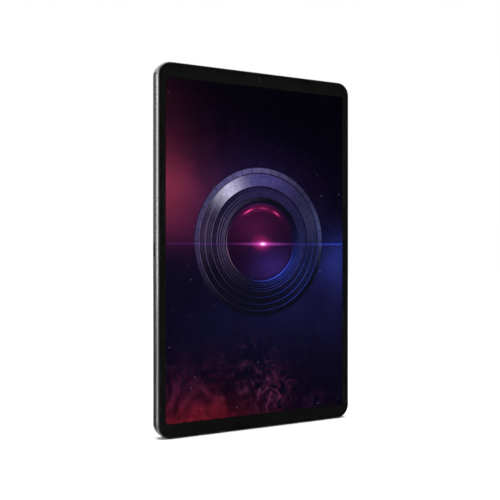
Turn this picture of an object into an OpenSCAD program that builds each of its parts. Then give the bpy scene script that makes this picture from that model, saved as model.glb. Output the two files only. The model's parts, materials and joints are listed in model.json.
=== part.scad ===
// Upright tablet computer: a metal tub, a black rim with a cover glass, and everything between them.
// The body is designed lying on its back, screen up: x is width, y is height, z is depth from
// the back face.
// upright() then stands it on its bottom edge with the screen facing -Y.

/* [Body] */
// Width across the long sides
body_w = 129.4; // [120:0.1:150]
// Height from bottom edge to top edge
body_h = 209; // [200:0.5:240]
// Thickness from the back face to the glass
body_t = 9.3; // [9.3:0.1:11]
// Corner radius seen from the front
corner_r = 8; // [6:0.5:12]
// Thickness of the side walls
wall_t = 1.6; // [1.4:0.1:2]
// Thickness of the back wall
back_t = 0.8; // [0.6:0.1:1]
// Radius of the crowned side wall
crown_r = 18; // [15:1:40]
// Rounding between the side wall and the back face
rear_edge_r = 1.4; // [1:0.1:2]

/* [Display] */
// Width of the lit picture
screen_w = 120; // [110:0.5:121]
// Height of the lit picture
screen_h = 192; // [180:0.5:193]
// Corner radius of the lit picture
screen_r = 2; // [1:0.5:4]
// Thickness of the cover glass
glass_t = 0.7; // [0.5:0.1:0.8]
// Width of the rim that shows around the glass
rim_w = 0.8; // [0.6:0.1:1]
// How far the rim reaches down the side
rim_side = 1.8; // [1.4:0.1:2]

/* [Charging port] */
// Length of the receptacle's mouth
port_w = 8.34; // [8.34:0.01:8.4]
// Height of the receptacle's mouth
port_h = 2.56; // [2.56:0.01:2.6]
// Height of the port's centre over the back face
port_z = 3.1; // [2.6:0.05:3.4]

/* [Side keys] */
// Length of the power button
power_l = 10; // [8:0.5:12]
// Length of the volume rocker
rocker_l = 21; // [18:0.5:24]
// Width of both keys
key_w = 2.4; // [2:0.1:2.6]
// How far the keys stand out of the side
key_proud = 0.45; // [0.2:0.05:0.6]
// Height of the power button's centre over the body's middle
power_y = 40; // [36:1:46]
// Height of the rocker's centre over the body's middle
rocker_y = 63; // [60:1:66]

/* [Card tray] */
// Length of the tray's face
tray_l = 19.6; // [18:0.2:22]
// Height of the tray's centre below the body's middle
tray_drop = 60; // [58:1:66]
// Diameter of the hole for the eject pin
pin_d = 0.9; // [0.8:0.1:1.2]

/* [Cameras] */
// How far the rear camera ring stands out of the back
bump_t = 1; // [0.6:0.1:1.4]
// Outer diameter of the rear camera ring
bump_d = 13.5; // [12:0.5:16]
// Distance of the front camera from the top edge
front_camera_drop = 4.4; // [4:0.1:5]

/* [Hidden] */

$fn = 48;
cut = 0.5;                 // how far a cutter reaches past the face it opens
gap = 0.12;                // clearance around a part that moves

// levels over the back face, from the glass down
rim_z = body_t - rim_side; // where the tub ends and the rim begins on the side
ledge_z = rim_z - 0.4;     // where the rim rests inside the tub
rim_top = body_t - 0.1;
glass_z = body_t - glass_t;
mask_t = 0.05;
mask_z = glass_z - mask_t;
touch_t = 0.1;
touch_z = mask_z - touch_t;
lcd_t = 0.75;
lcd_z = touch_z - lcd_t;
light_t = 0.85;
light_z = lcd_z - light_t;
pan_t = 0.15;
pan_z = light_z - pan_t;
frame_t = 0.3;
frame_z = pan_z - 0.5 - frame_t;
board_z = 2.2;
board_t = 0.8;
board_top = board_z + board_t;
plug_top = board_top + 0.7; // top of the board connectors, where the flexes lie
flex_t = 0.1;
can_top = board_top + 2.5;
key_z = 3.9;
slot_z = 3.8;
speaker_z = frame_z - 0.4;  // top of the speaker boxes

// plan sizes
half_w = body_w / 2;
half_h = body_h / 2;
inner_w = half_w - wall_t;
inner_h = half_h - wall_t;
glass_w = body_w - 2 * rim_w;
glass_h = body_h - 2 * rim_w;
glass_r = corner_r - rim_w;
ledge_in = 2.4;            // from the outer edge to the inner edge of the rim's ledge
lip_t = 1.05;              // thickness of the wall's lip around the rim
lcd_w = 123.2;
lcd_top = 97.2;
lcd_bottom = -99.2;
frame_w = 120;
frame_h = 197;
front_y = -(body_t + bump_t) / 2;
back_y = front_y + body_t;

// places seen from the front, from the middle of the body
FRAME_BOSSES = [[-58, 96], [-8, 96], [30, 96], [58.3, 96], [58.3, 22], [58.3, -30], [58.3, -96],
    [30, -98], [-10, -96], [-58, -96], [-26, -20], [-26, 40]];
BOARD_BOSSES = [[-59.5, 60], [-59.5, -40], [-31, -36], [-59.5, -78], [-59.5, 84], [34, -56], [26, -84]];
boss_d = 3.4;
bore_d = 1.5;
screw_d = 1.4;
speaker_x = -31;
speaker_slots = 5;
slot_pitch = 6.4;
slot_l = 5;
slot_w = 1.2;
mic_top_x = 20;
mic_bottom_x = -4;
mic_hole_d = 1;
front_camera_y = half_h - front_camera_drop;
rear_camera_at = [50, 90];
flash_at = [50, 78];
flash_d = 4.4;
tray_y = -tray_drop;
pin_offset = 7.9;
break_x = 48;
break_w = 1.4;
break_run = 7;
port_skin = 0.6;
shell_t = 0.3;
shell_l = 7.35;
// low and high corners of the battery's two cells, seen from the front
cell_w = 39;
CELLS = [-24, 16];
battery_low = -46;
battery_high = 74;
battery_z = 0.95;
battery_t = frame_z - 0.45 - battery_z;
// chips on the board: centre x, centre y, width, height, thickness
CHIPS = [[-45, 30, 14, 14, 1.1], [-45, 48, 12, 12, 0.9], [-45, 13, 11.5, 13, 0.9], [-39, -10, 7, 7, 0.8],
    [-49, -10, 5, 5, 0.7], [-39, -19, 4, 4, 0.7], [-46, 72, 8, 8, 0.8], [-45, -60, 6, 6, 0.8],
    [-37, -60, 3.5, 3.5, 0.6]];
// shield cans: low and high corners
CANS = [[[-55, 5], [-33, 58]], [[-55, -24], [-33, -3]], [[-55, 64], [-36, 80]], [[-55, -70], [-34, -50]]];
// board connectors: low and high corners
PLUGS = [[[-34.5, 75.2], [-32, 79.2]], [[-11, 75.2], [-8.5, 78.2]], [[-34.5, 80.3], [-32, 82.7]],
    [[-34.5, 86.2], [-32, 89.2]], [[-34.5, 89.8], [-32, 91.3]], [[-46, -82], [-34, -79]],
    [[-33.5, -54], [-31, -50]], [[23, -54], [25.5, -50]]];

// stands the lying body on its bottom edge, screen towards -Y
module upright() translate([0, back_y, half_h]) rotate([90, 0, 0]) children();

// a box between its low and high corners
module block(low, high) translate(low) cube(high - low);

// a flat rectangle with round corners
module plate(w, h, r) {
    square([w, h - 2 * r], center = true);
    square([w - 2 * r, h], center = true);
    for (x = [-1, 1], y = [-1, 1]) translate([x * (w / 2 - r), y * (h / 2 - r)]) circle(r);
}

// a plate between two levels
module slab(w, h, r, z0, z1) translate([0, 0, z0]) linear_extrude(z1 - z0) plate(w, h, r);

// a slot with round ends
module slot(l, w) {
    square([l - w, w], center = true);
    for (x = [-1, 1]) translate([x * (l - w) / 2, 0]) circle(w / 2);
}

// a slot through a long side, from x0 to x1, lying along the height
module side_slot(y, z, l, w, x0, x1)
    translate([x0, y, z]) rotate([90, 0, 90]) linear_extrude(x1 - x0) slot(l, w);

// a slot through a short side, from y0 to y1, lying along the width
module end_slot(x, z, l, w, y0, y1)
    translate([x, y1, z]) rotate([90, 0, 0]) linear_extrude(y1 - y0) slot(l, w);

// a rod between two points, with a round clip over its far end
module rod(a, b, d) {
    v = b - a;
    translate(a) rotate([0, acos(v[2] / norm(v)), atan2(v[1], v[0])]) cylinder(h = norm(v), d = d);
    translate(b - [0, 0, 0.65 * d]) cylinder(h = 1.3 * d, d = 1.6 * d);
}

// sweeps a section around the outline; the section's x is the distance out from the corner centres
module swept(w, h, r) {
    long = h - 2 * r;
    short = w - 2 * r;
    for (mx = [0, 1], my = [0, 1]) mirror([mx, 0, 0]) mirror([0, my, 0])
        translate([w / 2 - r, h / 2 - r, 0]) rotate_extrude(angle = 90) children();
    for (mx = [0, 1]) mirror([mx, 0, 0])
        translate([w / 2 - r, h / 2 - r, 0]) rotate([90, 0, 0]) linear_extrude(long) children();
    for (my = [0, 1]) mirror([0, my, 0])
        translate([-short / 2, h / 2 - r, 0]) rotate([90, 0, 90]) linear_extrude(short) children();
}

// the part of a corner that a rounding of radius r takes away, between directions from and to
module fillet_cutter(centre, r, from, to) difference() {
    reach = 4 * r;
    polygon([centre, centre + reach * from, centre + reach * (from + to), centre + reach * to]);
    translate(centre) circle(r);
}

// middle of the crown's circle, in the section
crown_z = body_t / 2;
crown_x = corner_r - crown_r;

// x of a rounding's centre that touches both the crown and a flat face at depth z
function crown_inside(r, z) = crown_x + sqrt((crown_r - r) ^ 2 - (z - crown_z) ^ 2);

// direction from the crown's middle towards a point
function crown_normal(p) = (p - [crown_x, crown_z]) / norm(p - [crown_x, crown_z]);

// the crowned side between two levels
module crowned(z0, z1) intersection() {
    translate([0, z0]) square([corner_r + 1, z1 - z0]);
    translate([crown_x, crown_z]) circle(crown_r, $fn = 96);
}

// section of the tub: crowned wall, rounded rear edge, back wall
module tub_section() {
    centre = [crown_inside(rear_edge_r, rear_edge_r), rear_edge_r];
    difference() {
        crowned(0, rim_z);
        fillet_cutter(centre, rear_edge_r, [0, -1], crown_normal(centre));
        translate([-1, back_t]) square([corner_r - wall_t + 1, body_t]);
        translate([-1, ledge_z]) square([corner_r - lip_t + 1, body_t]);
    }
}

// section of the rim: a ledge under the glass and a rounded front edge
rim_edge_r = 0.7;
module rim_section() {
    centre = [crown_inside(rim_edge_r, rim_top - rim_edge_r), rim_top - rim_edge_r];
    difference() {
        crowned(ledge_z + 0.02, rim_top);
        fillet_cutter(centre, rim_edge_r, [0, 1], crown_normal(centre));
        translate([-1, 0]) square([corner_r - ledge_in + 1, body_t]);
        translate([-1, touch_z]) square([corner_r - rim_w + 1.05, body_t]);
        translate([corner_r - lip_t - 0.05, 0]) square([2, rim_z + 0.02]);
    }
}

// section of the glass: flat with a rounded front edge
glass_edge_r = 0.45;
module glass_section() difference() {
    translate([0, glass_z]) square([glass_r, glass_t]);
    fillet_cutter([glass_r - glass_edge_r, body_t - glass_edge_r], glass_edge_r, [0, 1], [1, 0]);
}

module tub() {
    swept(body_w, body_h, corner_r) tub_section();
    translate([corner_r - half_w, corner_r - half_h, 0])
        cube([body_w - 2 * corner_r, body_h - 2 * corner_r, back_t]);
}

// the four places where plastic parts the metal
module break_boxes() for (x = [-1, 1], y = [-1, 1])
    translate([x * break_x - break_w / 2, y > 0 ? half_h - break_run : -half_h - 1, -1])
        cube([break_w, break_run + 1, body_t]);

module boss(at, top) translate([at[0], at[1], back_t - 0.1]) cylinder(h = top - back_t + 0.1, d = boss_d);

module boss_bore(at, top) translate([at[0], at[1], back_t + 0.2]) cylinder(h = top, d = bore_d);

module speaker_openings() for (end = [0, 1], i = [0 : speaker_slots - 1]) mirror([0, end, 0])
    end_slot(speaker_x + (i - (speaker_slots - 1) / 2) * slot_pitch, slot_z, slot_l, slot_w,
        inner_h - cut, half_h + cut);

module cover_openings() {
    side_slot(0, port_z, port_w + 0.3, port_h + 0.3, -half_w - cut, -inner_w + cut);
    side_slot(0, port_z, port_w + 2 * shell_t + 0.1, port_h + 2 * shell_t + 0.1,
        -half_w + port_skin, -inner_w + cut);
    side_slot(power_y, key_z, power_l + 2 * gap, key_w + 2 * gap, inner_w - cut, half_w + cut);
    side_slot(rocker_y, key_z, rocker_l + 2 * gap, key_w + 2 * gap, inner_w - cut, half_w + cut);
    side_slot(tray_y, key_z, tray_l + 2 * gap, key_w + 2 * gap, inner_w - cut, half_w + cut);
    speaker_openings();
    translate([mic_top_x, half_h + cut, slot_z]) rotate([90, 0, 0])
        cylinder(h = wall_t + 2 * cut, d = mic_hole_d);
    translate([mic_bottom_x, -inner_h + cut, slot_z]) rotate([90, 0, 0])
        cylinder(h = wall_t + 2 * cut, d = mic_hole_d);
    translate([rear_camera_at[0], rear_camera_at[1], -cut])
        cylinder(h = back_t + 2 * cut, d = bump_d + 0.1);
    translate([flash_at[0], flash_at[1], -cut]) cylinder(h = back_t + 2 * cut, d = flash_d);
}

module rear_cover() upright() color("dimgray") difference() {
    union() {
        tub();
        for (p = FRAME_BOSSES) boss(p, frame_z);
        for (p = BOARD_BOSSES) boss(p, board_z);
    }
    cover_openings();
    break_boxes();
    for (p = FRAME_BOSSES) boss_bore(p, frame_z);
    for (p = BOARD_BOSSES) boss_bore(p, board_z);
}

module antenna_breaks() upright() color("darkslategray") intersection() {
    tub();
    break_boxes();
}

module front_rim() upright() color("black") swept(body_w, body_h, corner_r) rim_section();

module cover_glass() upright() color("lightsteelblue", 0.4) {
    swept(glass_w, glass_h, glass_r) glass_section();
    translate([glass_r - glass_w / 2, glass_r - glass_h / 2, glass_z])
        cube([glass_w - 2 * glass_r, glass_h - 2 * glass_r, glass_t]);
}

// black print under the glass, clear over the picture and over the front camera
peep_d = 2.6;
module border_mask() upright() color("black") difference() {
    slab(glass_w - 0.6, glass_h - 0.6, glass_r - 0.3, mask_z, glass_z);
    slab(screen_w, screen_h, screen_r, mask_z - cut, glass_z + cut);
    translate([0, front_camera_y, mask_z - cut]) cylinder(h = 2 * cut, d = peep_d);
}

module touch_sensor() upright() color("gainsboro") block([-lcd_w / 2, lcd_bottom + 1.4, touch_z],
    [lcd_w / 2, lcd_top, mask_z]);

module display_adhesive() upright() color("dimgray") difference() {
    slab(glass_w - 0.6, glass_h - 0.6, glass_r - 0.3, touch_z, mask_z);
    slab(glass_w - 3, glass_h - 3, glass_r - 1.5, touch_z - cut, mask_z + cut);
}

// two thin glass sheets; the lower one reaches past the upper one and carries the driver chip
lcd_step = 2.6;
module lcd_panel() upright() color("midnightblue") {
    block([-lcd_w / 2, lcd_bottom, lcd_z], [lcd_w / 2, lcd_top, lcd_z + lcd_t / 2]);
    block([-lcd_w / 2, lcd_bottom + lcd_step, lcd_z + lcd_t / 2], [lcd_w / 2, lcd_top, touch_z]);
    block([-14, lcd_bottom + 0.9, lcd_z + lcd_t / 2], [14, lcd_bottom + 1.9, lcd_z + lcd_t / 2 + 0.25]);
}

module backlight_unit() upright() color("white") difference() {
    block([-lcd_w / 2, lcd_bottom, light_z], [lcd_w / 2, lcd_top, lcd_z]);
    for (i = [-9 : 9]) block([i * 6 - 1.2, lcd_bottom - cut, light_z + 0.2],
        [i * 6 + 1.2, lcd_bottom + 1, lcd_z - 0.2]);
}

// a folded steel tray, open at its corners
module backlight_tray() upright() color("silver") difference() {
    block([-lcd_w / 2 - 0.3, lcd_bottom - 0.3, pan_z], [lcd_w / 2 + 0.3, lcd_top + 0.3, lcd_z + 0.3]);
    block([-lcd_w / 2 - 0.1, lcd_bottom - 0.1, light_z], [lcd_w / 2 + 0.1, lcd_top + 0.1, body_t]);
    for (x = [-lcd_w / 2, lcd_w / 2], y = [lcd_bottom, lcd_top])
        block([x - 1, y - 1, light_z], [x + 1, y + 1, body_t]);
}

// from the panel's ledge round the tray's edge, over the frame and down to its connector
module display_flex() upright() color("darkorange") {
    wrap_y = lcd_bottom - 0.55;
    run_z = pan_z - 0.2;
    block([-52, lcd_bottom + 0.1, lcd_z + lcd_t / 2], [-28, lcd_bottom + 0.8, lcd_z + lcd_t / 2 + flex_t]);
    block([-52, wrap_y - flex_t, lcd_z + lcd_t / 2], [-28, lcd_bottom + 0.1, lcd_z + lcd_t / 2 + flex_t]);
    block([-52, wrap_y - flex_t, run_z], [-28, wrap_y, lcd_z + lcd_t / 2]);
    block([-52, wrap_y, run_z], [-28, -85, run_z + flex_t]);
    block([-46, -85, run_z], [-34, -83.6, run_z + flex_t]);
    block([-46, -83.6 - flex_t, plug_top], [-34, -83.6, run_z]);
    block([-46, -83.6, plug_top], [-34, -79, plug_top + flex_t]);
}

module mid_frame() upright() color("darkgray") difference() {
    slab(frame_w, frame_h, 4, frame_z, frame_z + frame_t);
    block([-54, -86.5, 0], [-26, -76, body_t]);
    block([-4, 94, 0], [4, 100, body_t]);
    for (x = [-18, 22], y = [-30 : 30 : 60]) translate([x + 12, y, 0]) cylinder(h = body_t, d = 14);
    for (p = FRAME_BOSSES) translate([p[0], p[1], 0]) cylinder(h = body_t, d = bore_d + 0.1);
}

// a graphite sheet on the underside of the frame
module heat_spreader() upright() color("darkslategray") difference() {
    block([-57, 6, frame_z - 0.18], [50, 57, frame_z - 0.04]);
    translate([-26, 40, 0]) cylinder(h = body_t, d = boss_d + 1);
}

// two pouch cells whose sealed flap at the top lies on the tabs
flap_l = 2.5;
flap_t = 0.3;
tab_z = board_z + 0.5;
tab_t = 0.15;
module battery_cells() upright() color("silver") for (x = CELLS) difference() {
    block([x, battery_low, battery_z], [x + cell_w, battery_high, battery_z + battery_t]);
    block([x - cut, battery_high - flap_l, 0], [x + cell_w + cut, battery_high + cut, tab_z + tab_t]);
    block([x - cut, battery_high - flap_l, tab_z + tab_t + flap_t],
        [x + cell_w + cut, battery_high + cut, body_t]);
}

// black tape across both cells, and the pull tabs under them
module battery_wrap() upright() color("dimgray") {
    for (y = [-38, 60]) block([CELLS[0], y, battery_z + battery_t], [CELLS[1] + cell_w, y + 5,
        battery_z + battery_t + 0.06]);
    for (x = CELLS) block([x + 10, battery_low - 5, back_t + 0.02], [x + 18, battery_high - 8, battery_z]);
}

module battery_board() upright() color("darkgreen") {
    block([-18, 74.2, board_z], [40, 78.4, board_top]);
    for (x = [-4, 6, 20, 30]) block([x, 71.6, tab_z], [x + 3, 74.2, tab_z + tab_t]);
    for (i = [0 : 5]) block([2 + i * 5, 76, board_top], [4.5 + i * 5, 77.6, board_top + 0.5]);
}

module battery_flex() upright() color("darkorange") block([-34.5, 75.4, plug_top], [-8.5, 78.2,
    plug_top + flex_t]);

module main_board() upright() color("darkgreen") difference() {
    union() {
        block([-62.2, -84, board_z], [-28, 91.5, board_top]);
        block([-62.2, -88, board_z], [-48, -84, board_top]);
    }
    block([-63, -4.75, 0], [-56.2, 4.75, body_t]);
    for (p = BOARD_BOSSES) translate([p[0], p[1], 0]) cylinder(h = body_t, d = bore_d + 0.1);
    for (p = FRAME_BOSSES) translate([p[0], p[1], 0]) cylinder(h = body_t, d = boss_d + 0.5);
}

module main_chips() upright() {
    color("black") for (c = CHIPS) translate([c[0] - c[2] / 2, c[1] - c[3] / 2, board_top])
        cube([c[2], c[3], c[4]]);
    color("tan") for (i = [0 : 7], side = [0, 1]) translate([side ? -52.5 : -37, 22 + i * 2.2, board_top])
        cube([1.6, 0.8, 0.5]);
    color("tan") for (i = [0 : 8]) translate([-60 + i * 2.4, -30, board_top]) cube([1, 1.8, 0.6]);
}

can_t = 0.2;
module shield_cans() upright() color("lightgray") for (c = CANS) difference() {
    block([c[0][0], c[0][1], board_top], [c[1][0], c[1][1], can_top]);
    block([c[0][0] + can_t, c[0][1] + can_t, board_top - cut], [c[1][0] - can_t, c[1][1] - can_t,
        can_top - can_t]);
}

module board_connectors() upright() color("ivory") for (p = PLUGS)
    block([p[0][0], p[0][1], board_top], [p[1][0], p[1][1], plug_top]);

module port_shell() upright() color("silver") difference() {
    x0 = -half_w + port_skin + 0.03;
    side_slot(0, port_z, port_w + 2 * shell_t, port_h + 2 * shell_t, x0, x0 + shell_l);
    side_slot(0, port_z, port_w, port_h, x0 - cut, x0 + shell_l - 0.3);
}

tongue_w = 6.69;
tongue_t = 0.7;
tongue_tip = -half_w + port_skin + 0.9;
tongue_root = tongue_tip + 4.45;
module port_tongue() upright() color("black") {
    block([tongue_tip, -tongue_w / 2, port_z - tongue_t / 2],
        [tongue_root + 0.1, tongue_w / 2, port_z + tongue_t / 2]);
    side_slot(0, port_z, port_w - 0.04, port_h - 0.04, tongue_root, -half_w + port_skin + shell_l - 0.3);
}

module port_contacts() upright() color("gold") for (i = [-5.5 : 5.5], side = [-1, 1])
    translate([tongue_tip + 0.5, i * 0.5 - 0.13, port_z + (side > 0 ? tongue_t / 2 : -tongue_t / 2 - 0.05)])
        cube([3.4, 0.26, 0.05]);

module sub_board() upright() color("darkgreen") difference() {
    block([20, -90, board_z], [59.5, -49, board_top]);
    for (p = BOARD_BOSSES) translate([p[0], p[1], 0]) cylinder(h = body_t, d = bore_d + 0.1);
}

module sub_flex() upright() color("darkorange") block([-33.5, -53.6, plug_top], [25.5, -50.4,
    plug_top + flex_t]);

// a steel cage over a plastic floor, open towards the side
socket_half = 6.7;
socket_x = 45;
socket_end = 60.4;
module card_socket() upright() color("silver") difference() {
    block([socket_x, tray_y - socket_half, board_top], [socket_end, tray_y + socket_half, key_z + 0.85]);
    block([socket_x + 0.4, tray_y - socket_half + 0.2, board_top + 0.35],
        [socket_end + cut, tray_y + socket_half - 0.2, key_z + 0.7]);
}

// a push rod behind the pin hole and the bell crank that it turns
module eject_lever() upright() color("silver") {
    rod_y = tray_y - pin_offset;
    block([46, rod_y - 0.5, key_z - 0.25], [61.6, rod_y + 0.5, key_z + 0.25]);
    difference() {
        union() {
            block([42.6, rod_y - 0.5, key_z - 0.25], [46, rod_y + 0.5, key_z + 0.25]);
            block([42.6, rod_y, key_z - 0.25], [44.4, tray_y - 3, key_z + 0.25]);
        }
        translate([43.5, rod_y + 2, 0]) cylinder(h = body_t, d = 0.8);
    }
}

// a sealed box with its driver's opening and a mouth towards the slots
module speaker(end) mirror([0, end, 0]) difference() {
    block([speaker_x - 17, 92.2, back_t + 0.1], [speaker_x + 17, inner_h - 0.45, speaker_z]);
    block([speaker_x - 15, 98.4, slot_z - 0.7], [speaker_x + 15, inner_h, slot_z + 0.6]);
    translate([speaker_x, 95.3, speaker_z - 0.3]) linear_extrude(1) slot(20, 4.6);
}

module speaker_top() upright() color("black") speaker(0);

module speaker_bottom() upright() color("black") speaker(1);

module speaker_meshes() upright() color("gray") for (end = [0, 1]) mirror([0, end, 0])
    block([speaker_x - 16, inner_h - 0.4, slot_z - 1], [speaker_x + 16, inner_h - 0.05, slot_z + 1]);

module vibration_motor() upright() color("silver") {
    translate([2, -70, back_t + 0.05]) cylinder(h = 2.7, d = 9);
    block([6, -71.5, back_t + 0.05], [9, -68.5, back_t + 0.25]);
}

module microphones() upright() color("goldenrod") {
    block([mic_top_x - 1.8, inner_h - 3, slot_z - 0.8], [mic_top_x + 1.8, inner_h - 0.1, slot_z + 0.6]);
    block([mic_bottom_x - 1.8, -inner_h + 0.1, slot_z - 0.8], [mic_bottom_x + 1.8, -inner_h + 3,
        slot_z + 0.6]);
}

// thin radiators on plastic carriers at the top and the bottom
module antennas() upright() color("darkgray") for (end = [0, 1]) mirror([0, end, 0]) {
    block([36, 98.6, back_t + 0.1], [54, inner_h - 0.2, 2.6]);
    block([37, 99, 2.6], [53, inner_h - 0.6, 2.75]);
}

cable_d = 0.8;
module antenna_cables() upright() color("black") {
    over = board_top + 0.05 + cable_d / 2;
    under = board_z + cable_d / 2;
    TOP_RUN = [[-31, 84.6, over], [-26.5, 84.6, over], [-22, 84.6, under], [26, 84.6, under],
        [34, 92, under], [37.5, 97.6, under]];
    BOTTOM_RUN = [[-49, -86.6, over], [-14, -88.2, over], [-6, -92.4, over], [20, -92.4, over],
        [37.5, -97.6, over]];
    for (run = [TOP_RUN, BOTTOM_RUN], i = [0 : len(run) - 2]) rod(run[i], run[i + 1], cable_d);
}

// a square module under the mask's hole, with its barrel towards the glass
front_module = 5;
barrel_d = 3.5;
module_low = touch_z - 3.4;
module_high = touch_z - 1.5;
lens_z = touch_z - 0.3;
module front_camera() upright() color("black") {
    translate([-front_module / 2, front_camera_y - front_module / 2, module_low])
        cube([front_module, front_module, module_high - module_low]);
    translate([0, front_camera_y, module_high]) cylinder(h = lens_z - module_high, d = barrel_d);
}

module front_camera_lens() upright() color("slateblue") translate([0, front_camera_y, lens_z]) {
    cylinder(h = 0.12, d = 2);
    translate([0, 0, 0.12]) cylinder(h = 0.18, d1 = 2, d2 = 1.2);
}

module light_sensor() upright() color("ivory") block([8, front_camera_y - 0.8, touch_z - 1],
    [10, front_camera_y + 0.8, touch_z - 0.1]);

camera_half = 4.75;
module rear_camera() upright() translate([rear_camera_at[0], rear_camera_at[1], 0]) color("black") {
    block([-camera_half, -camera_half, 1.2], [camera_half, camera_half, frame_z - 0.4]);
    difference() {
        translate([0, 0, -0.1]) cylinder(h = 1.3, d = 7.4);
        translate([0, 0, -cut]) cylinder(h = 0.8, d1 = 7.2, d2 = 3.4);
    }
}

// a turned ring whose rounded lip stands out of the back, held by a flange inside
ring_in = 5;
ring_edge_r = 0.5;
module rear_camera_ring() upright() color("dimgray") translate([rear_camera_at[0], rear_camera_at[1], 0])
    rotate_extrude() difference() {
        union() {
            translate([ring_in, -bump_t]) square([bump_d / 2 - ring_in, bump_t + back_t]);
            translate([ring_in, back_t]) square([bump_d / 2 + 0.7 - ring_in, 0.3]);
        }
        fillet_cutter([bump_d / 2 - ring_edge_r, ring_edge_r - bump_t], ring_edge_r, [0, -1], [1, 0]);
    }

module rear_camera_glass() upright() color("lightsteelblue", 0.5)
    translate([rear_camera_at[0], rear_camera_at[1], 0.3 - bump_t])
        cylinder(h = 0.5, d = 2 * ring_in - 0.04);

module camera_flexes() upright() color("darkorange") {
    module_side = front_camera_y - front_module / 2;
    block([-34.5, 86.4, plug_top], [rear_camera_at[0] - camera_half, 89, plug_top + flex_t]);
    block([-34.5, 89.9, plug_top], [1.5, 91.2, plug_top + flex_t]);
    block([-1.5, 91.2, plug_top], [1.5, module_side, plug_top + flex_t]);
    block([-1.5, module_side - flex_t, plug_top], [1.5, module_side, module_low + 1]);
}

module flash_board() upright() color("white") translate([flash_at[0], flash_at[1], 0]) {
    block([-2.5, -2.5, back_t + 0.3], [2.5, 2.5, back_t + 0.8]);
    block([-0.8, -0.8, back_t + 0.05], [0.8, 0.8, back_t + 0.3]);
}

module flash_lens() upright() color("lightyellow") translate([flash_at[0], flash_at[1], 0.02])
    cylinder(h = back_t - 0.04, d = flash_d - 0.04);

// depths of the key parts, in from the outer face of the side
bracket_x = 60.7;
flex_x = bracket_x + 0.3;
dome_x = flex_x + 0.12;
DOMES = [power_y, rocker_y - 7, rocker_y + 7];

// the rocker turns about this line, which runs along the body's depth
pivot_x = 62.7;
pivot_d = 0.7;
pivot_low = key_z - 1.9;
pivot_high = key_z + 1.6;
ear_t = 0.35;

// a strip behind both keys, with two feet and a half-round cradle above and below the rocker's pivot
module key_bracket() upright() color("silver") {
    block([bracket_x, power_y - 7, key_z - 1.6], [flex_x, rocker_y + 13, key_z + 0.9]);
    for (y = [power_y - 7, rocker_y + 11]) block([58.6, y, back_t + 0.05], [flex_x, y + 2, key_z - 1.6]);
    difference() {
        union() {
            block([bracket_x, rocker_y - 1, pivot_low], [flex_x, rocker_y + 1, pivot_high]);
            for (z = [pivot_low, pivot_high - ear_t])
                block([bracket_x, rocker_y - 1, z], [pivot_x, rocker_y + 1, z + ear_t]);
        }
        translate([pivot_x, rocker_y, 0]) cylinder(h = body_t, d = pivot_d + 0.1);
    }
}

module key_flex() upright() color("darkorange") {
    block([flex_x, power_y - 6, key_z - 1.2], [dome_x, 82.6, key_z + 0.9]);
    block([-34.5, 80.4, plug_top], [dome_x, 82.6, plug_top + flex_t]);
}

dome_h = 0.4;
module dome(y) translate([dome_x, y, key_z]) rotate([0, 90, 0]) cylinder(h = dome_h, d1 = 2.4, d2 = 1.2);

module power_dome() upright() color("silver") dome(DOMES[0]);

module volume_domes() upright() color("silver") for (i = [1, 2]) dome(DOMES[i]);

// a key with a slightly crowned face, a flange behind the wall and plungers over the domes
key_crown_r = 3.05;
flange_t = 0.5;
flange_lip = 0.6;
plunger_d = 1.4;
module side_key(y, l, flange_x, plungers) {
    plunger_x = dome_x + dome_h + 0.05;
    difference() {
        side_slot(y, key_z, l, key_w, flange_x, half_w + key_proud);
        translate([half_w + key_proud, y, key_z]) rotate([90, 0, 0])
            translate([0, 0, -l]) linear_extrude(2 * l) difference() {
                translate([-0.25, -key_w]) square([1, 2 * key_w]);
                translate([-key_crown_r, 0]) circle(key_crown_r);
            }
    }
    block([flange_x, y - l / 2 - flange_lip, key_z - key_w / 2 - 0.3],
        [flange_x + flange_t, y + l / 2 + flange_lip, key_z + key_w / 2]);
    for (p = plungers) translate([plunger_x, p, key_z]) rotate([0, 90, 0])
        cylinder(h = flange_x - plunger_x + 0.1, d = plunger_d);
}

module power_button() upright() color("dimgray") side_key(power_y, power_l, inner_w - 0.55, [DOMES[0]]);

// a longer key with a pivot across its middle
module volume_rocker() upright() color("dimgray") {
    side_key(rocker_y, rocker_l, inner_w - 0.95, [DOMES[1], DOMES[2]]);
    translate([pivot_x, rocker_y, pivot_low]) cylinder(h = pivot_high - pivot_low, d = pivot_d);
}

// a face that fills the slot in the side, and a frame that holds the card
module card_tray() upright() color("dimgray") difference() {
    union() {
        side_slot(tray_y, key_z, tray_l, key_w, inner_w + 0.2, half_w - 0.06);
        block([46.4, tray_y - 6.2, key_z - 0.5], [inner_w + 0.3, tray_y + 6.2, key_z + 0.5]);
    }
    block([47.2, tray_y - 5.55, key_z - 0.3], [inner_w - 0.9, tray_y + 5.55, body_t]);
    block([48.2, tray_y - 4.8, 0], [inner_w - 2, tray_y + 4.8, body_t]);
    translate([inner_w - cut, tray_y - pin_offset, key_z]) rotate([0, 90, 0])
        cylinder(h = wall_t + 2 * cut, d = pin_d);
}

module tray_seal() upright() color("black") difference() {
    side_slot(tray_y, key_z, tray_l - 1.6 - 4.4, key_w - 0.2, inner_w - 0.55, inner_w + 0.15);
    block([60, tray_y - 6.25, key_z - 0.55], [half_w, tray_y + 6.25, key_z + 0.55]);
}

// a flat head with a cross recess on a plain shank
module screw(at, seat, l) translate([at[0], at[1], seat]) difference() {
    union() {
        cylinder(h = 0.4, d = 2.8);
        translate([0, 0, -l]) cylinder(h = l, d = screw_d);
    }
    for (a = [0, 90]) rotate([0, 0, a]) translate([-0.8, -0.15, 0.2]) cube([1.6, 0.3, 1]);
}

module frame_screws() upright() color("silver") for (p = FRAME_BOSSES) screw(p, frame_z + frame_t, 3);

module board_screws() upright() color("silver") for (p = BOARD_BOSSES) screw(p, board_top, 1.2);

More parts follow.
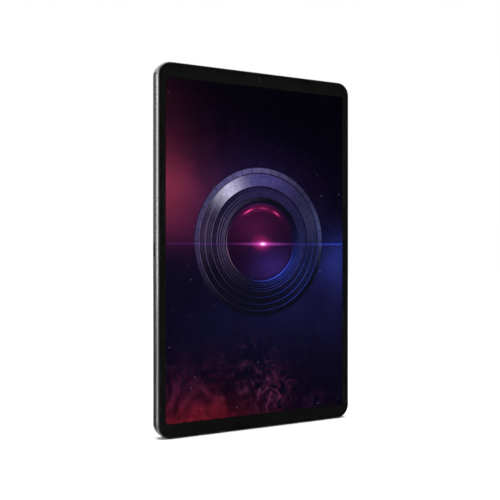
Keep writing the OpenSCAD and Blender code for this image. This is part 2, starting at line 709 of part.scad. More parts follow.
rear_cover();
antenna_breaks();
front_rim();
cover_glass();
border_mask();
touch_sensor();
display_adhesive();
lcd_panel();
backlight_unit();
backlight_tray();
display_flex();
mid_frame();
heat_spreader();
battery_cells();
battery_wrap();
battery_board();
battery_flex();
main_board();
main_chips();
shield_cans();
board_connectors();
port_shell();
port_tongue();
port_contacts();
sub_board();
sub_flex();
card_socket();
eject_lever();
speaker_top();
speaker_bottom();
speaker_meshes();
vibration_motor();
microphones();
antennas();
antenna_cables();
front_camera();
front_camera_lens();
light_sensor();
rear_camera();
rear_camera_ring();
rear_camera_glass();
camera_flexes();
flash_board();
flash_lens();
key_bracket();
key_flex();
power_dome();
volume_domes();
power_button();
volume_rocker();
card_tray();
tray_seal();
frame_screws();
board_screws();
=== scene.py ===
"""Looks of the upright tablet computer: materials for every piece, a finer rear lens, a pale studio."""
import json
import math

import bmesh
import bpy
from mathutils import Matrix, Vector


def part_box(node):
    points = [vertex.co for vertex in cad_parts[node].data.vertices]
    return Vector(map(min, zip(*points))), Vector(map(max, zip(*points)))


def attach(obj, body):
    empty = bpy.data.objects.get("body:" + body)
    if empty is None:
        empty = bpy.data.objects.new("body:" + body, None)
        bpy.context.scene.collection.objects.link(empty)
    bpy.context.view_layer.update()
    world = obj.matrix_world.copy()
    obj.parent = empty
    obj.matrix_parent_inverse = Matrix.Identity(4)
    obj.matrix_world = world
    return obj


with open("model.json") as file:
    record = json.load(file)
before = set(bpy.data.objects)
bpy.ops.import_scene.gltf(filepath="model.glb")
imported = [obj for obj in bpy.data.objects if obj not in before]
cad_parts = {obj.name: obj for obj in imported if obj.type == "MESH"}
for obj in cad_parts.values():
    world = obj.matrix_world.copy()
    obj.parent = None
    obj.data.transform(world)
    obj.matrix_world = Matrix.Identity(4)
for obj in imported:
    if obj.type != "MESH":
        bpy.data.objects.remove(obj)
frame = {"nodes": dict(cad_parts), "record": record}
bpy.context.view_layer.update()
nodes = frame["nodes"]
MM = 0.001

# ------------------------------------------------------------------ places worked out from the frame
body_low, body_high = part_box("rear_cover")
FRONT_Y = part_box("cover_glass")[0].y
MIDDLE = Vector((0.0, FRONT_Y, (body_low.z + body_high.z) / 2))
PICTURE_MIDDLE = MIDDLE + Vector((1.1, 0, -0.6)) * MM
PICTURE_TOP = 95.95      # millimetres above the picture's middle, a little below the top of the lit area


# ------------------------------------------------------------------ node helpers
def linear(*screen):
    """A colour given as 0 to 255 screen values, in the renderer's linear values."""
    shares = [value / 255 for value in screen]
    return tuple(v / 12.92 if v < 0.0404 else ((v + 0.055) / 1.055) ** 2.4 for v in shares) + (1.0,)


def put(tree, kind, inputs=None, **settings):
    """Adds a node; inputs are values or sockets, by name or number."""
    node = tree.nodes.new(kind)
    for name, value in settings.items():
        setattr(node, name, value)
    for name, value in (inputs or {}).items():
        if isinstance(value, bpy.types.NodeSocket):
            tree.links.new(value, node.inputs[name])
        else:
            node.inputs[name].default_value = value
    return node


def calc(tree, operation, *values):
    """One math node's result."""
    return put(tree, "ShaderNodeMath", dict(enumerate(values)), operation=operation).outputs[0]


def mix(tree, factor, a, b, blend="MIX"):
    """One colour over, added to or multiplied with another."""
    node = put(tree, "ShaderNodeMix", {0: factor}, data_type="RGBA", blend_type=blend,
               clamp_result=False)
    colour_a, colour_b, result = node.inputs[6], node.inputs[7], node.outputs[2]
    for socket, value in ((colour_a, a), (colour_b, b)):
        if isinstance(value, bpy.types.NodeSocket):
            tree.links.new(value, socket)
        else:
            socket.default_value = value
    return result


def ramp(tree, value, *stops):
    """A colour ramp through (place, colour) stops."""
    node = put(tree, "ShaderNodeValToRGB", {0: value})
    bar = node.color_ramp.elements
    while len(bar) < len(stops):
        bar.new(0.5)
    for element, (place, colour) in zip(bar, stops):
        element.position = place
        element.color = colour
    return node.outputs[0]


def smooth(tree, value, low, high):
    """0 below low, 1 above high, smooth between; low may be the larger one."""
    node = put(tree, "ShaderNodeMapRange", {0: value, 1: low, 2: high, 3: 0.0, 4: 1.0},
               interpolation_type="SMOOTHSTEP", clamp=True)
    return node.outputs[0]


def noise(tree, place, scale, detail=4.0, roughness=0.5, distortion=0.0):
    node = put(tree, "ShaderNodeTexNoise",
               {"Vector": place, "Scale": scale, "Detail": detail, "Roughness": roughness,
                "Distortion": distortion})
    return node.outputs[0]


def place_in(tree):
    """The piece's own coordinates, in metres."""
    return put(tree, "ShaderNodeTexCoord").outputs["Object"]


def new_material(name):
    material = bpy.data.materials.new(name)
    material.use_nodes = True
    tree = material.node_tree
    tree.nodes.clear()
    surface = put(tree, "ShaderNodeBsdfPrincipled")
    output = put(tree, "ShaderNodeOutputMaterial", {"Surface": surface.outputs[0]})
    output.target = "ALL"
    return material, tree, surface


def roughen(tree, surface, value, seen, rough):
    """Roughness that runs through rough while value runs through seen."""
    node = put(tree, "ShaderNodeMapRange", {0: value, 1: seen[0], 2: seen[1], 3: rough[0], 4: rough[1]})
    tree.links.new(node.outputs[0], surface.inputs["Roughness"])


def emboss(tree, surface, height, strength, depth):
    """A bump that raises the surface where height is large."""
    node = put(tree, "ShaderNodeBump", {"Strength": strength, "Distance": depth, "Height": height})
    tree.links.new(node.outputs[0], surface.inputs["Normal"])


def set_values(surface, **values):
    """Plain values on the shader's own sockets, such as coat_roughness= for Coat Roughness."""
    names = {"ior": "IOR", "specular": "Specular IOR Level", "coat": "Coat Weight",
             "transmission": "Transmission Weight", "strength": "Emission Strength"}
    for key, value in values.items():
        surface.inputs[names.get(key, key.replace("_", " ").title())].default_value = value


# ------------------------------------------------------------------ general finishes
def finish(name, dark, light, rough=(0.3, 0.5), grain=(900, 0.05), cloud=60, stretch=None, **values):
    """Colour and roughness that vary softly, over a fine grain.

    grain is the scale of the grain and the strength of its bump; cloud is the scale of the soft variation.
    """
    material, tree, surface = new_material(name)
    place = place_in(tree)
    if stretch:
        place = put(tree, "ShaderNodeVectorMath", {0: place, 1: stretch},
                    operation="MULTIPLY").outputs[0]
    clouds = noise(tree, place, cloud, 5.0, 0.6)
    fine = noise(tree, place, grain[0], 3.0, 0.55)
    blotch = calc(tree, "ADD", calc(tree, "MULTIPLY", clouds, 0.7), calc(tree, "MULTIPLY", fine, 0.3))
    tree.links.new(ramp(tree, blotch, (0.35, linear(*dark)), (0.65, linear(*light))),
                   surface.inputs["Base Color"])
    roughen(tree, surface, blotch, (0.3, 0.7), rough)
    emboss(tree, surface, fine, grain[1], 0.05 * MM)
    set_values(surface, **values)
    return material


def anodised(name, dark, light, rough):
    """Bead-blasted and anodised metal: fine sparkle in the roughness and a very shallow dimpled bump."""
    material, tree, surface = new_material(name)
    place = place_in(tree)
    beads = put(tree, "ShaderNodeTexVoronoi", {"Vector": place, "Scale": 5200.0},
                feature="F1").outputs[0]
    fine = noise(tree, place, 7000.0, 2.0)
    clouds = noise(tree, place, 35.0, 3.0)
    tone = calc(tree, "ADD", calc(tree, "MULTIPLY", clouds, 0.65), calc(tree, "MULTIPLY", fine, 0.35))
    tree.links.new(ramp(tree, tone, (0.36, linear(*dark)), (0.64, linear(*light))),
                   surface.inputs["Base Color"])
    roughen(tree, surface, fine, (0.3, 0.7), rough)
    emboss(tree, surface, beads, 0.02, 0.02 * MM)
    set_values(surface, metallic=1.0)
    return material


def clear_glass(name, tint, specular, smear, alpha=1.0):
    """Polished glass, a little rougher where fingers have been. With alpha it is a thin clear layer."""
    material, tree, surface = new_material(name)
    smudge = noise(tree, place_in(tree), 45.0, 4.0, 0.6, 1.0)
    roughen(tree, surface, smudge, (0.45, 0.75), (0.008, smear))
    set_values(surface, base_color=linear(*tint), alpha=alpha, ior=1.5, specular=specular)
    if alpha == 1.0:
        set_values(surface, transmission=1.0)
    return material


# ------------------------------------------------------------------ the lit picture
class Picture:
    """Adds light to a picture on the screen's plane. x and z are millimetres from its middle."""

    def __init__(self, tree):
        self.tree = tree
        parts = put(tree, "ShaderNodeSeparateXYZ", {0: place_in(tree)})
        across = calc(tree, "SUBTRACT", parts.outputs[0], PICTURE_MIDDLE.x)
        height = calc(tree, "SUBTRACT", parts.outputs[2], PICTURE_MIDDLE.z)
        self.x = calc(tree, "MULTIPLY", across, 1000.0)
        self.z = calc(tree, "MULTIPLY", height, 1000.0)
        self.flat = put(tree, "ShaderNodeCombineXYZ", {0: self.x, 1: self.z, 2: 0.0}).outputs[0]
        self.colour = None

    def glow(self, x, z, across, up, power=1.0):
        """1 at (x, z), falling off like a bell over across and up."""
        tree = self.tree
        right = calc(tree, "DIVIDE", calc(tree, "SUBTRACT", self.x, x), across)
        high = calc(tree, "DIVIDE", calc(tree, "SUBTRACT", self.z, z), up)
        total = calc(tree, "ADD", self.times(right, right), self.times(high, high))
        if power != 1.0:
            total = calc(tree, "POWER", total, power)
        return calc(tree, "EXPONENT", calc(tree, "MULTIPLY", total, -1.0))

    def noise(self, scale, detail=6.0, roughness=0.55, distortion=0.0, shift=0.0):
        place = put(self.tree, "ShaderNodeVectorMath", {0: self.flat, 1: (shift, -shift, shift)},
                    operation="ADD").outputs[0]
        return noise(self.tree, place, scale, detail, roughness, distortion)

    def times(self, *values):
        result = values[0]
        for value in values[1:]:
            result = calc(self.tree, "MULTIPLY", result, value)
        return result

    def add(self, colour, amount):
        self.colour = mix(self.tree, amount, self.colour, colour, "ADD")

    def over(self, colour, amount):
        self.colour = mix(self.tree, amount, self.colour, colour)


def picture_nebula(p):
    """Deep blue space with red clouds at the left and the lower left, and a blue haze at the right."""
    tree = p.tree
    slope = calc(tree, "ADD", calc(tree, "MULTIPLY", p.z, 0.010), calc(tree, "MULTIPLY", p.x, 0.004))
    p.colour = ramp(tree, smooth(tree, slope, -0.9, 1.0), (0.0, linear(7, 4, 19)),
                    (0.25, linear(12, 9, 33)), (0.55, linear(15, 11, 38)), (0.8, linear(5, 3, 17)),
                    (1.0, linear(1, 0, 6)))
    soft = smooth(tree, p.noise(0.028, 5.0, 0.55, 0.6), 0.25, 0.75)
    wisps = smooth(tree, p.noise(0.055, 8.0, 0.62, 1.2, 17.0), 0.38, 0.75)
    torn = smooth(tree, p.noise(0.11, 9.0, 0.66, 2.2, 41.0), 0.40, 0.72)
    veil = calc(tree, "ADD", calc(tree, "MULTIPLY", soft, 0.8), 0.45)
    p.add(linear(116, 34, 38), p.times(p.glow(-66, 36, 25, 22), veil))
    p.add(linear(40, 9, 28), p.times(p.glow(-58, 58, 30, 24), soft))
    p.add(linear(28, 5, 8), p.glow(-62, 82, 14, 13))
    p.add(linear(36, 5, 26), p.times(p.glow(-52, 14, 26, 14), veil))
    p.add(linear(26, 15, 50), p.times(p.glow(-8, 36, 44, 22), veil))
    p.add(linear(20, 32, 88), p.times(p.glow(60, -6, 19, 15), veil))
    p.add(linear(14, 14, 52), p.times(p.glow(42, -14, 32, 26), veil))
    p.add(linear(7, 9, 34), p.times(p.glow(-4, -44, 60, 20), veil))
    p.add(linear(132, 24, 26), p.times(p.glow(-40, -99, 26, 13), calc(tree, "ADD", wisps, 0.25)))
    p.add(linear(72, 22, 46), p.times(p.glow(-52, -80, 24, 16), wisps))
    p.add(linear(112, 58, 92), p.times(p.glow(-4, -76, 20, 17), torn, wisps))
    p.add(linear(80, 28, 54), p.times(p.glow(9, -88, 12, 14), torn))
    p.add(linear(44, 16, 42), p.times(p.glow(38, -92, 9, 6), torn))


def picture_stars(p):
    """Fine stars of a few sizes."""
    tree = p.tree
    kinds = ((0.42, 0.08, 0.62, 0.10), (0.16, 0.045, 0.74, 0.25), (0.07, 0.024, 0.52, 0.9))
    for scale, size, share, strength in kinds:
        cells = put(tree, "ShaderNodeTexVoronoi", {"Vector": p.flat, "Scale": scale}, feature="F1",
                    voronoi_dimensions="2D")
        chance = put(tree, "ShaderNodeSeparateColor", {0: cells.outputs["Color"]})
        bright = smooth(tree, cells.outputs["Distance"], size, size * 0.15)
        kept = smooth(tree, chance.outputs[0], share, 1.0)
        p.add(linear(190, 190, 245), p.times(bright, kept, strength))


def picture_ring(p):
    """A plain machined ring with even segments all round, lit from the upper left."""
    tree = p.tree
    ring_z, outer, inner = 5.5, 44.0, 23.0
    high = calc(tree, "SUBTRACT", p.z, ring_z)
    flat = put(tree, "ShaderNodeCombineXYZ", {0: p.x, 1: high, 2: 0.0}).outputs[0]
    r = put(tree, "ShaderNodeVectorMath", {0: flat}, operation="LENGTH").outputs["Value"]
    turn = calc(tree, "MULTIPLY", calc(tree, "ARCTAN2", high, p.x), 180 / math.pi)

    def band(low, top, soft=0.35):
        """1 between two radii."""
        return p.times(smooth(tree, r, low - soft, low), smooth(tree, r, top, top - soft))

    def towards(angle, width):
        """1 in one direction round the ring, falling off like a bell."""
        away = calc(tree, "ABSOLUTE", calc(tree, "SUBTRACT", turn, angle))
        away = calc(tree, "MINIMUM", away, calc(tree, "SUBTRACT", 360.0, away))
        part = calc(tree, "DIVIDE", away, width)
        return calc(tree, "EXPONENT", p.times(part, part, -1.0))

    def notches(count, share):
        """0 in narrow gaps spaced evenly round the ring, 1 between them."""
        step = calc(tree, "FRACT", calc(tree, "DIVIDE", calc(tree, "ADD", turn, 360.0), 360.0 / count))
        edge = calc(tree, "ABSOLUTE", calc(tree, "SUBTRACT", step, 0.5))
        return smooth(tree, edge, 0.5, 0.5 - share)

    # inside the ring: magenta above, violet below
    inside = smooth(tree, r, inner, inner - 2.0)
    p.over(linear(26, 8, 34), calc(tree, "MULTIPLY", inside, 0.85))
    p.add(linear(62, 10, 44), p.times(inside, p.glow(-4, 14, 14, 10)))
    p.add(linear(38, 26, 88), p.times(inside, p.glow(8, -9, 13, 10)))
    # the metal
    body = smooth(tree, r, inner, inner + 0.4)
    body = p.times(body, smooth(tree, r, outer, outer - 0.4))
    p.over(linear(12, 11, 26), body)
    scuffs = smooth(tree, p.noise(0.35, 7.0, 0.6, 0.5, 5.0), 0.2, 0.8)
    wear = calc(tree, "ADD", calc(tree, "MULTIPLY", scuffs, 0.5), 0.6)
    main = p.times(band(33.0, 40.2), wear)
    p.add(linear(74, 66, 128), p.times(main, towards(92.0, 40.0)))
    p.add(linear(196, 192, 214), p.times(main, towards(126.0, 15.0)))
    p.add(linear(70, 54, 84), p.times(main, towards(172.0, 20.0), 0.55))
    p.add(linear(72, 70, 110), p.times(main, towards(20.0, 20.0), 0.38))
    p.add(linear(26, 32, 78), p.times(main, towards(-22.0, 34.0), 0.5))
    rim = p.times(band(40.8, 43.6), notches(40, 0.05), wear)
    p.add(linear(96, 90, 140), p.times(rim, towards(105.0, 48.0)))
    p.add(linear(70, 56, 92), p.times(rim, towards(178.0, 30.0), 0.7))
    p.add(linear(80, 84, 140), p.times(rim, towards(12.0, 22.0), 0.6))
    step = p.times(band(26.6, 32.2), notches(20, 0.025), wear)
    p.add(linear(50, 42, 92), p.times(step, towards(80.0, 60.0), 0.55))
    p.add(linear(36, 36, 84), p.times(step, towards(-10.0, 50.0), 0.5))
    p.add(linear(50, 34, 62), p.times(step, towards(185.0, 32.0), 0.45))
    for radius in (24.4, 25.2, 26.1, 27.6, 29.2, 32.7, 36.8, 40.5):
        line = band(radius, radius + 0.35, 0.2)
        p.add(linear(150, 132, 190), p.times(line, towards(165.0, 50.0), wear, 0.4))
        p.add(linear(60, 84, 220), p.times(line, towards(-42.0, 40.0), wear, 0.6))
    lip = band(23.0, 23.7, 0.3)
    p.add(linear(150, 110, 140), p.times(lip, towards(196.0, 28.0), 0.5))
    p.add(linear(70, 90, 240), p.times(lip, towards(-55.0, 34.0), 0.8))
    # light from the core caught by the ring's inner wall at the top
    for start, width, amount in ((116.0, 8.0, 0.9), (86.0, 9.0, 0.25), (58.0, 6.0, 0.7)):
        arc = p.times(band(19.6, 20.6, 0.6), towards(start, width))
        p.add(linear(255, 70, 150), p.times(arc, amount))
    p.add(linear(110, 16, 64), p.times(band(18.5, 23.0, 1.5), towards(92.0, 38.0), 0.4))


def picture_flare(p):
    """A small bright core with a thin level streak, magenta to the left and blue to the right."""
    x, z = 1.2, 4.2
    p.add(linear(40, 32, 120), p.times(p.glow(30, z, 24, 0.5), 0.5))
    p.add(linear(84, 30, 120), p.times(p.glow(-44, z, 26, 0.5), 0.35))
    p.add(linear(36, 64, 190), p.times(p.glow(52, z, 12, 0.5), 0.6))
    p.add(linear(150, 60, 140), p.times(p.glow(x, z, 14, 0.6), 0.7))
    p.add(linear(140, 24, 96), p.glow(x, z, 4.4, 3.2))
    p.add(linear(180, 60, 160), p.times(p.glow(x + 1.0, z, 8.0, 0.9), 0.6))
    p.add(linear(230, 120, 200), p.times(p.glow(x, z, 2.4, 1.1), 0.8))
    p.add(linear(255, 235, 250), p.times(p.glow(x, z, 1.3, 0.55), 1.5))
    halo = p.times(p.glow(x - 2.5, z + 1.5, 5.5, 4.5, 5.0), 0.05)
    p.add(linear(255, 60, 140), halo)


def lit_screen():
    """The picture's light on a dark matt pane."""
    material, tree, surface = new_material("lit_screen")
    p = Picture(tree)
    picture_nebula(p)
    picture_stars(p)
    picture_ring(p)
    picture_flare(p)
    below_top = smooth(tree, p.z, PICTURE_TOP + 0.1, PICTURE_TOP - 0.1)
    tree.links.new(mix(tree, below_top, linear(12, 12, 12), p.colour), surface.inputs["Emission Color"])
    grid = noise(tree, place_in(tree), 4000.0, 1.0)
    roughen(tree, surface, grid, (0.3, 0.7), (0.35, 0.5))
    set_values(surface, base_color=linear(2, 2, 3), strength=1.38, specular=0.0)
    return material


# ------------------------------------------------------------------ materials by slot
FINISHES = {
    "rim_plastic": dict(dark=(13, 13, 14), light=(20, 20, 21), rough=(0.30, 0.42), grain=(4200, 0.10),
                        cloud=70, specular=0.35),
    "inlay_plastic": dict(dark=(58, 59, 62), light=(70, 71, 74), rough=(0.42, 0.55), grain=(3000, 0.12),
                          cloud=80),
    "black_print": dict(dark=(15, 15, 15), light=(19, 19, 19), rough=(0.45, 0.6), grain=(5000, 0.02),
                        cloud=90, specular=0.1),
    "diffuser": dict(dark=(224, 226, 228), light=(240, 241, 242), rough=(0.4, 0.6)),
    "steel": dict(dark=(150, 152, 156), light=(188, 190, 194), rough=(0.25, 0.4), metallic=1.0,
                  grain=(1400, 0.08), cloud=40, stretch=(1, 1, 12)),
    "flex_film": dict(dark=(150, 84, 26), light=(186, 116, 44), rough=(0.25, 0.4), grain=(800, 0.05),
                      cloud=120, coat=0.3),
    "frame_metal": dict(dark=(150, 152, 156), light=(182, 184, 188), rough=(0.35, 0.5), metallic=1.0),
    "graphite": dict(dark=(40, 40, 42), light=(62, 62, 64), rough=(0.35, 0.5), metallic=0.3,
                     grain=(2400, 0.2)),
    "cell_foil": dict(dark=(170, 172, 176), light=(204, 206, 210), rough=(0.2, 0.45), metallic=0.9,
                      grain=(500, 0.25), cloud=90),
    "tape": dict(dark=(20, 20, 22), light=(34, 34, 36), rough=(0.5, 0.7)),
    "black_foam": dict(dark=(24, 24, 25), light=(40, 40, 41), rough=(0.8, 0.95), grain=(3000, 0.5)),
    "chip": dict(dark=(26, 26, 28), light=(40, 40, 42), rough=(0.45, 0.65), grain=(2200, 0.2)),
    "can_metal": dict(dark=(176, 178, 180), light=(208, 210, 212), rough=(0.25, 0.4), metallic=1.0),
    "connector_plastic": dict(dark=(196, 186, 160), light=(216, 208, 184)),
    "port_steel": dict(dark=(120, 121, 124), light=(150, 151, 154), rough=(0.22, 0.34), metallic=1.0,
                       grain=(2600, 0.06), cloud=200),
    "port_plastic": dict(dark=(16, 16, 17), light=(28, 28, 29), rough=(0.4, 0.55)),
    "gold": dict(dark=(206, 160, 74), light=(232, 190, 100), rough=(0.15, 0.3), metallic=1.0,
                 grain=(3000, 0.03), cloud=400),
    "speaker_plastic": dict(dark=(24, 24, 25), light=(38, 38, 39), rough=(0.5, 0.65)),
    "mic_can": dict(dark=(190, 160, 96), light=(214, 184, 118), rough=(0.2, 0.35), metallic=1.0),
    "antenna_carrier": dict(dark=(60, 60, 62), light=(80, 80, 82), rough=(0.5, 0.65)),
    "cable_jacket": dict(dark=(20, 20, 21), light=(34, 34, 35), rough=(0.4, 0.55)),
    "camera_black": dict(dark=(12, 12, 13), light=(20, 20, 21), rough=(0.35, 0.5), grain=(2600, 0.15)),
    "sensor_plastic": dict(dark=(180, 180, 172), light=(204, 204, 198)),
    "flash_white": dict(dark=(214, 210, 180), light=(236, 226, 150), rough=(0.4, 0.6)),
    "dome_steel": dict(dark=(180, 181, 184), light=(212, 213, 216), rough=(0.15, 0.3), metallic=1.0),
    "seal_rubber": dict(dark=(26, 26, 27), light=(38, 38, 39), rough=(0.6, 0.75)),
    "screw_steel": dict(dark=(140, 141, 146), light=(178, 179, 184), rough=(0.2, 0.35), metallic=1.0),
}
ANODISED = {
    "body_metal": ((105, 105, 107), (125, 125, 127), (0.13, 0.19)),
    "key_metal": ((98, 100, 106), (120, 122, 128), (0.24, 0.34)),
    "ring_metal": ((84, 86, 92), (104, 106, 112), (0.18, 0.28)),
}
CLEAR_GLASS = {
    "cover_glass": dict(tint=(6, 6, 7), specular=0.2, smear=0.03, alpha=0.16),
    "sensor_film": dict(tint=(6, 6, 8), specular=0.0, smear=0.01, alpha=0.03),
    "lens_cover": dict(tint=(225, 228, 240), specular=0.4, smear=0.03),
}


def make_materials():
    """One material for every slot."""
    made = {slot: finish(slot, **look) for slot, look in FINISHES.items()}
    made.update({slot: anodised(slot, *look) for slot, look in ANODISED.items()})
    made.update({slot: clear_glass(slot, **look) for slot, look in CLEAR_GLASS.items()})
    made.update({"screen": lit_screen(), "board": board_mask(), "mesh_steel": woven_mesh(),
                 "lens_glass": lens_with_painted_sheen(), "flash_diffuser": flash_diffuser()})
    return made


def board_mask():
    """Green solder mask with copper tracks showing through as slightly lighter lines."""
    material, tree, surface = new_material("board")
    place = place_in(tree)
    tracks = put(tree, "ShaderNodeTexBrick", {"Vector": place, "Scale": 160.0, "Mortar Size": 0.03,
                                              "Color1": linear(6, 44, 24), "Color2": linear(8, 52, 30),
                                              "Mortar": linear(20, 84, 50)})
    clouds = noise(tree, place, 300.0, 3.0)
    tree.links.new(mix(tree, calc(tree, "MULTIPLY", clouds, 0.4), tracks.outputs[0], linear(4, 32, 18)),
                   surface.inputs["Base Color"])
    roughen(tree, surface, clouds, (0.3, 0.7), (0.3, 0.45))
    return material


def woven_mesh():
    """Fine black steel mesh: crossed wires with holes between them, the holes painted near-black as
    painted shade of the space behind them.
    """
    material, tree, surface = new_material("mesh_steel")
    parts = put(tree, "ShaderNodeSeparateXYZ", {0: place_in(tree)})
    pitch = 0.22 * MM
    waves = []
    for axis in (0, 1):
        wave = calc(tree, "SINE", calc(tree, "MULTIPLY", parts.outputs[axis], 2 * math.pi / pitch))
        waves.append(calc(tree, "ABSOLUTE", wave))
    wire = calc(tree, "MAXIMUM", waves[0], waves[1])
    # The near-black between the wires is painted shade, standing for the dark space seen through the
    # holes.
    tree.links.new(ramp(tree, wire, (0.45, linear(4, 4, 4)), (0.75, linear(92, 92, 95))),
                   surface.inputs["Base Color"])
    emboss(tree, surface, wire, 0.7, 0.05 * MM)
    set_values(surface, metallic=0.8, roughness=0.4)
    return material


def lens_with_painted_sheen():
    """Dark coated lens with a painted reflection: blue-grey in the middle, where it faces the view, and
    lighter and violet towards its edge, where it turns away from the view.
    """
    material, tree, surface = new_material("lens_glass")
    # Painted reflection: the colour runs from blue-grey to a lighter violet as the surface turns away from
    # the view.
    facing = put(tree, "ShaderNodeLayerWeight", {"Blend": 0.35}).outputs["Facing"]
    speckle = noise(tree, place_in(tree), 3000.0, 2.0)
    shade = calc(tree, "ADD", facing, calc(tree, "MULTIPLY", speckle, 0.15))
    tree.links.new(ramp(tree, shade, (0.1, linear(34, 42, 58)), (0.5, linear(52, 60, 96)),
                        (0.9, linear(96, 70, 120))), surface.inputs["Base Color"])
    set_values(surface, roughness=0.08, specular=0.6, coat=0.6, coat_roughness=0.03)
    return material


def flash_diffuser():
    """Clear moulded diffuser with fine rings over a warm lamp."""
    material, tree, surface = new_material("flash_diffuser")
    lens_low, lens_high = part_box("flash_lens")
    middle = (lens_low + lens_high) / 2
    away = put(tree, "ShaderNodeVectorMath", {0: place_in(tree), 1: tuple(middle)}, operation="DISTANCE")
    rings = calc(tree, "SINE", calc(tree, "MULTIPLY", away.outputs["Value"], 2 * math.pi / (0.22 * MM)))
    warm = smooth(tree, away.outputs["Value"], 1.5 * MM, 0.3 * MM)
    tree.links.new(mix(tree, warm, linear(226, 222, 206), linear(240, 214, 116)),
                   surface.inputs["Base Color"])
    emboss(tree, surface, rings, 0.6, 0.04 * MM)
    set_values(surface, roughness=0.18, coat=0.5, coat_roughness=0.05)
    return material


materials = make_materials()
SLOT_OF = {part["node"]: part["material_slot"] for part in frame["record"]["subparts"]}
for name, piece in nodes.items():
    piece.data.materials.clear()
    piece.data.materials.append(materials[SLOT_OF[name]])


# ------------------------------------------------------------------ finer pieces behind the rear window
TURN_STEPS = 96


def turned(name, profile, centre):
    """A closed solid turned round the depth axis.

    profile holds (radius, height towards the back) pairs in millimetres.
    """
    form = bmesh.new()
    row = [form.verts.new((radius * MM, height * MM, 0)) for radius, height in profile]
    edges = [form.edges.new((row[i], row[(i + 1) % len(row)])) for i in range(len(row))]
    bmesh.ops.spin(form, geom=row + edges, cent=(0, 0, 0), axis=(0, 1, 0), angle=2 * math.pi,
                   steps=TURN_STEPS)
    bmesh.ops.remove_doubles(form, verts=form.verts, dist=0.002 * MM)
    bmesh.ops.recalc_face_normals(form, faces=form.faces)
    mesh = bpy.data.meshes.new(name)
    form.to_mesh(mesh)
    form.free()
    piece = bpy.data.objects.new(name, mesh)
    bpy.context.scene.collection.objects.link(piece)
    piece.location = centre
    return piece


def dressed(piece, slot):
    """Gives a finer piece its slot's material and lets it travel with the tablet."""
    piece.data.materials.append(materials[slot])
    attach(piece, "tablet")


def add_rear_lens():
    """A domed front element in a stepped black cone, as seen through the rear window."""
    low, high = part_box("rear_camera")
    cone_deep, cone_in, cone_out = 0.8, 1.7, 3.6
    middle = Vector(((low.x + high.x) / 2, high.y - cone_deep * MM, (low.z + high.z) / 2))
    dome = [(0.0, 0.02), (1.62, 0.02), (1.62, 0.10), (1.5, 0.22), (1.25, 0.34), (0.95, 0.42),
            (0.6, 0.47), (0.3, 0.49), (0.0, 0.50)]
    lens = turned("rear_lens_front", dome, middle)
    lens.data.shade_smooth()
    dressed(lens, "lens_glass")
    steps = 6
    wide = (cone_out - cone_in - 0.2) / steps
    rise = cone_deep / (cone_out - cone_in)
    stairs, under = [], []
    for i in range(steps):
        inner = cone_in + wide * i
        height = rise * wide * (i + 1) + 0.012
        stairs += [(inner, height), (inner + wide, height)]
        under.append((inner, rise * wide * i + 0.006))
    last = cone_in + wide * steps
    under.append((last, rise * wide * steps + 0.006))
    dressed(turned("rear_lens_cone", stairs + under[::-1], middle), "camera_black")


# ------------------------------------------------------------------ studio
VIEW_AZIMUTH = math.radians(29.84)   # how far the camera stands to the object's left
VIEW_DISTANCE = 0.4748               # from the middle of the glass, along the view
VIEW_SIDE = 0.00603                  # how far the middle of the glass lies right of the view's axis
VIEW_HEIGHT = 0.1043                 # above the floor
LENS = 58.24                         # millimetres, on a sensor 36 mm wide
HORIZON_SHIFT = 0.0009
DARKEST_MIRRORED = 0.012             # what the object mirrors from straight in front
FLOOR_RADIUS = 4.0
FLOOR_GAP = 0.02 * MM                # between the floor and the tablet's bottom edge


def add_camera():
    data = bpy.data.cameras.new("camera")
    data.lens, data.sensor_width, data.shift_y = LENS, 36.0, HORIZON_SHIFT
    data.clip_start, data.clip_end = 0.01, 30.0
    camera = bpy.data.objects.new("camera", data)
    bpy.context.scene.collection.objects.link(camera)
    ahead = Vector((math.sin(VIEW_AZIMUTH), math.cos(VIEW_AZIMUTH), 0))
    right = Vector((math.cos(VIEW_AZIMUTH), -math.sin(VIEW_AZIMUTH), 0))
    camera.location = Vector((0, FRONT_Y, VIEW_HEIGHT)) - ahead * VIEW_DISTANCE - right * VIEW_SIDE
    camera.rotation_euler = (math.pi / 2, 0, -VIEW_AZIMUTH)
    bpy.context.scene.camera = camera


def add_softbox(name, place, width, height, power):
    """A rectangular lamp turned towards the middle of the glass."""
    data = bpy.data.lights.new(name, "AREA")
    data.shape, data.size, data.size_y = "RECTANGLE", width, height
    data.energy = power
    lamp = bpy.data.objects.new(name, data)
    bpy.context.scene.collection.objects.link(lamp)
    lamp.location = place
    lamp.rotation_euler = (MIDDLE - Vector(place)).to_track_quat("-Z", "Y").to_euler()


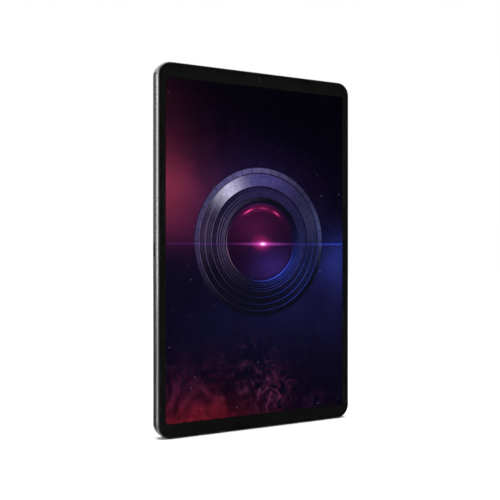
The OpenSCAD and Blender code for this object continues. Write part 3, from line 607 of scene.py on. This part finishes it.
def add_world():
    """White behind everything. What the object mirrors is darker in front and light behind and above."""
    world = bpy.data.worlds.new("studio")
    bpy.context.scene.world = world
    world.use_nodes = True
    tree = world.node_tree
    tree.nodes.clear()
    rays = put(tree, "ShaderNodeLightPath")
    parts = put(tree, "ShaderNodeSeparateXYZ", {0: put(tree, "ShaderNodeTexCoord").outputs["Generated"]})
    back = smooth(tree, parts.outputs[1], -0.1, 0.9)
    up = smooth(tree, parts.outputs[2], 0.0, 0.9)
    sides = smooth(tree, calc(tree, "ABSOLUTE", parts.outputs[0]), 0.88, 1.0)
    corner = calc(tree, "MULTIPLY", smooth(tree, parts.outputs[0], -0.45, -0.7),
                  smooth(tree, parts.outputs[1], -0.3, -0.6))
    high = calc(tree, "MULTIPLY", back, smooth(tree, parts.outputs[2], 0.30, 0.42))
    level = DARKEST_MIRRORED
    for share, brightness in ((back, 0.25), (up, 0.06), (high, 1.1), (sides, 0.8), (corner, 0.25)):
        level = calc(tree, "ADD", level, calc(tree, "MULTIPLY", share, brightness))
    seen = put(tree, "ShaderNodeBackground", {0: (1, 1, 1, 1), 1: 1.0})
    mirrored = put(tree, "ShaderNodeBackground", {0: (1, 1, 1, 1), 1: level})
    fill = put(tree, "ShaderNodeBackground", {0: (1, 1, 1, 1), 1: 0.55})
    inner = put(tree, "ShaderNodeMixShader", {0: rays.outputs["Is Glossy Ray"], 1: fill.outputs[0],
                                              2: mirrored.outputs[0]})
    outer = put(tree, "ShaderNodeMixShader", {0: rays.outputs["Is Camera Ray"], 1: inner.outputs[0],
                                              2: seen.outputs[0]})
    put(tree, "ShaderNodeOutputWorld", {0: outer.outputs[0]})


def add_floor():
    """A pale round floor that melts into the white far from the object."""
    mesh = bpy.data.meshes.new("floor")
    form = bmesh.new()
    bmesh.ops.create_circle(form, cap_ends=True, segments=96, radius=FLOOR_RADIUS)
    form.to_mesh(mesh)
    form.free()
    floor = bpy.data.objects.new("floor", mesh)
    bpy.context.scene.collection.objects.link(floor)
    material, tree, surface = new_material("floor")
    place = place_in(tree)
    specks = noise(tree, place, 220.0, 3.0)
    tree.links.new(ramp(tree, specks, (0.3, linear(236, 236, 236)), (0.7, linear(241, 241, 241))),
                   surface.inputs["Base Color"])
    set_values(surface, roughness=0.9, specular=0.1)
    rays = put(tree, "ShaderNodeLightPath")
    mirrored = put(tree, "ShaderNodeBsdfGlossy", {"Color": (0.45, 0.45, 0.45, 1), "Roughness": 0.08})
    both = put(tree, "ShaderNodeMixShader", {0: rays.outputs["Is Glossy Ray"], 1: surface.outputs[0],
                                             2: mirrored.outputs[0]})
    output = next(node for node in tree.nodes if node.type == "OUTPUT_MATERIAL")
    tree.links.new(both.outputs[0], output.inputs["Surface"])
    mesh.materials.append(material)
    floor.location.z = body_low.z - FLOOR_GAP


def add_studio():
    add_world()
    add_floor()
    add_softbox("left_back", (-0.826, 0.876, 0.24), 0.22, 1.15, 7.5)
    add_softbox("overhead", (0.0, 0.1, 1.5), 1.6, 1.6, 26.0)
    sun = bpy.data.lights.new("sky", "SUN")
    sun.energy, sun.angle = 2.2, math.radians(50)
    lamp = bpy.data.objects.new("sky", sun)
    bpy.context.scene.collection.objects.link(lamp)
    lamp.rotation_euler = (math.radians(8), math.radians(6), 0)


bpy.context.scene.view_settings.view_transform = "Standard"
add_rear_lens()
add_camera()
add_studio()
bpy.context.view_layer.update()
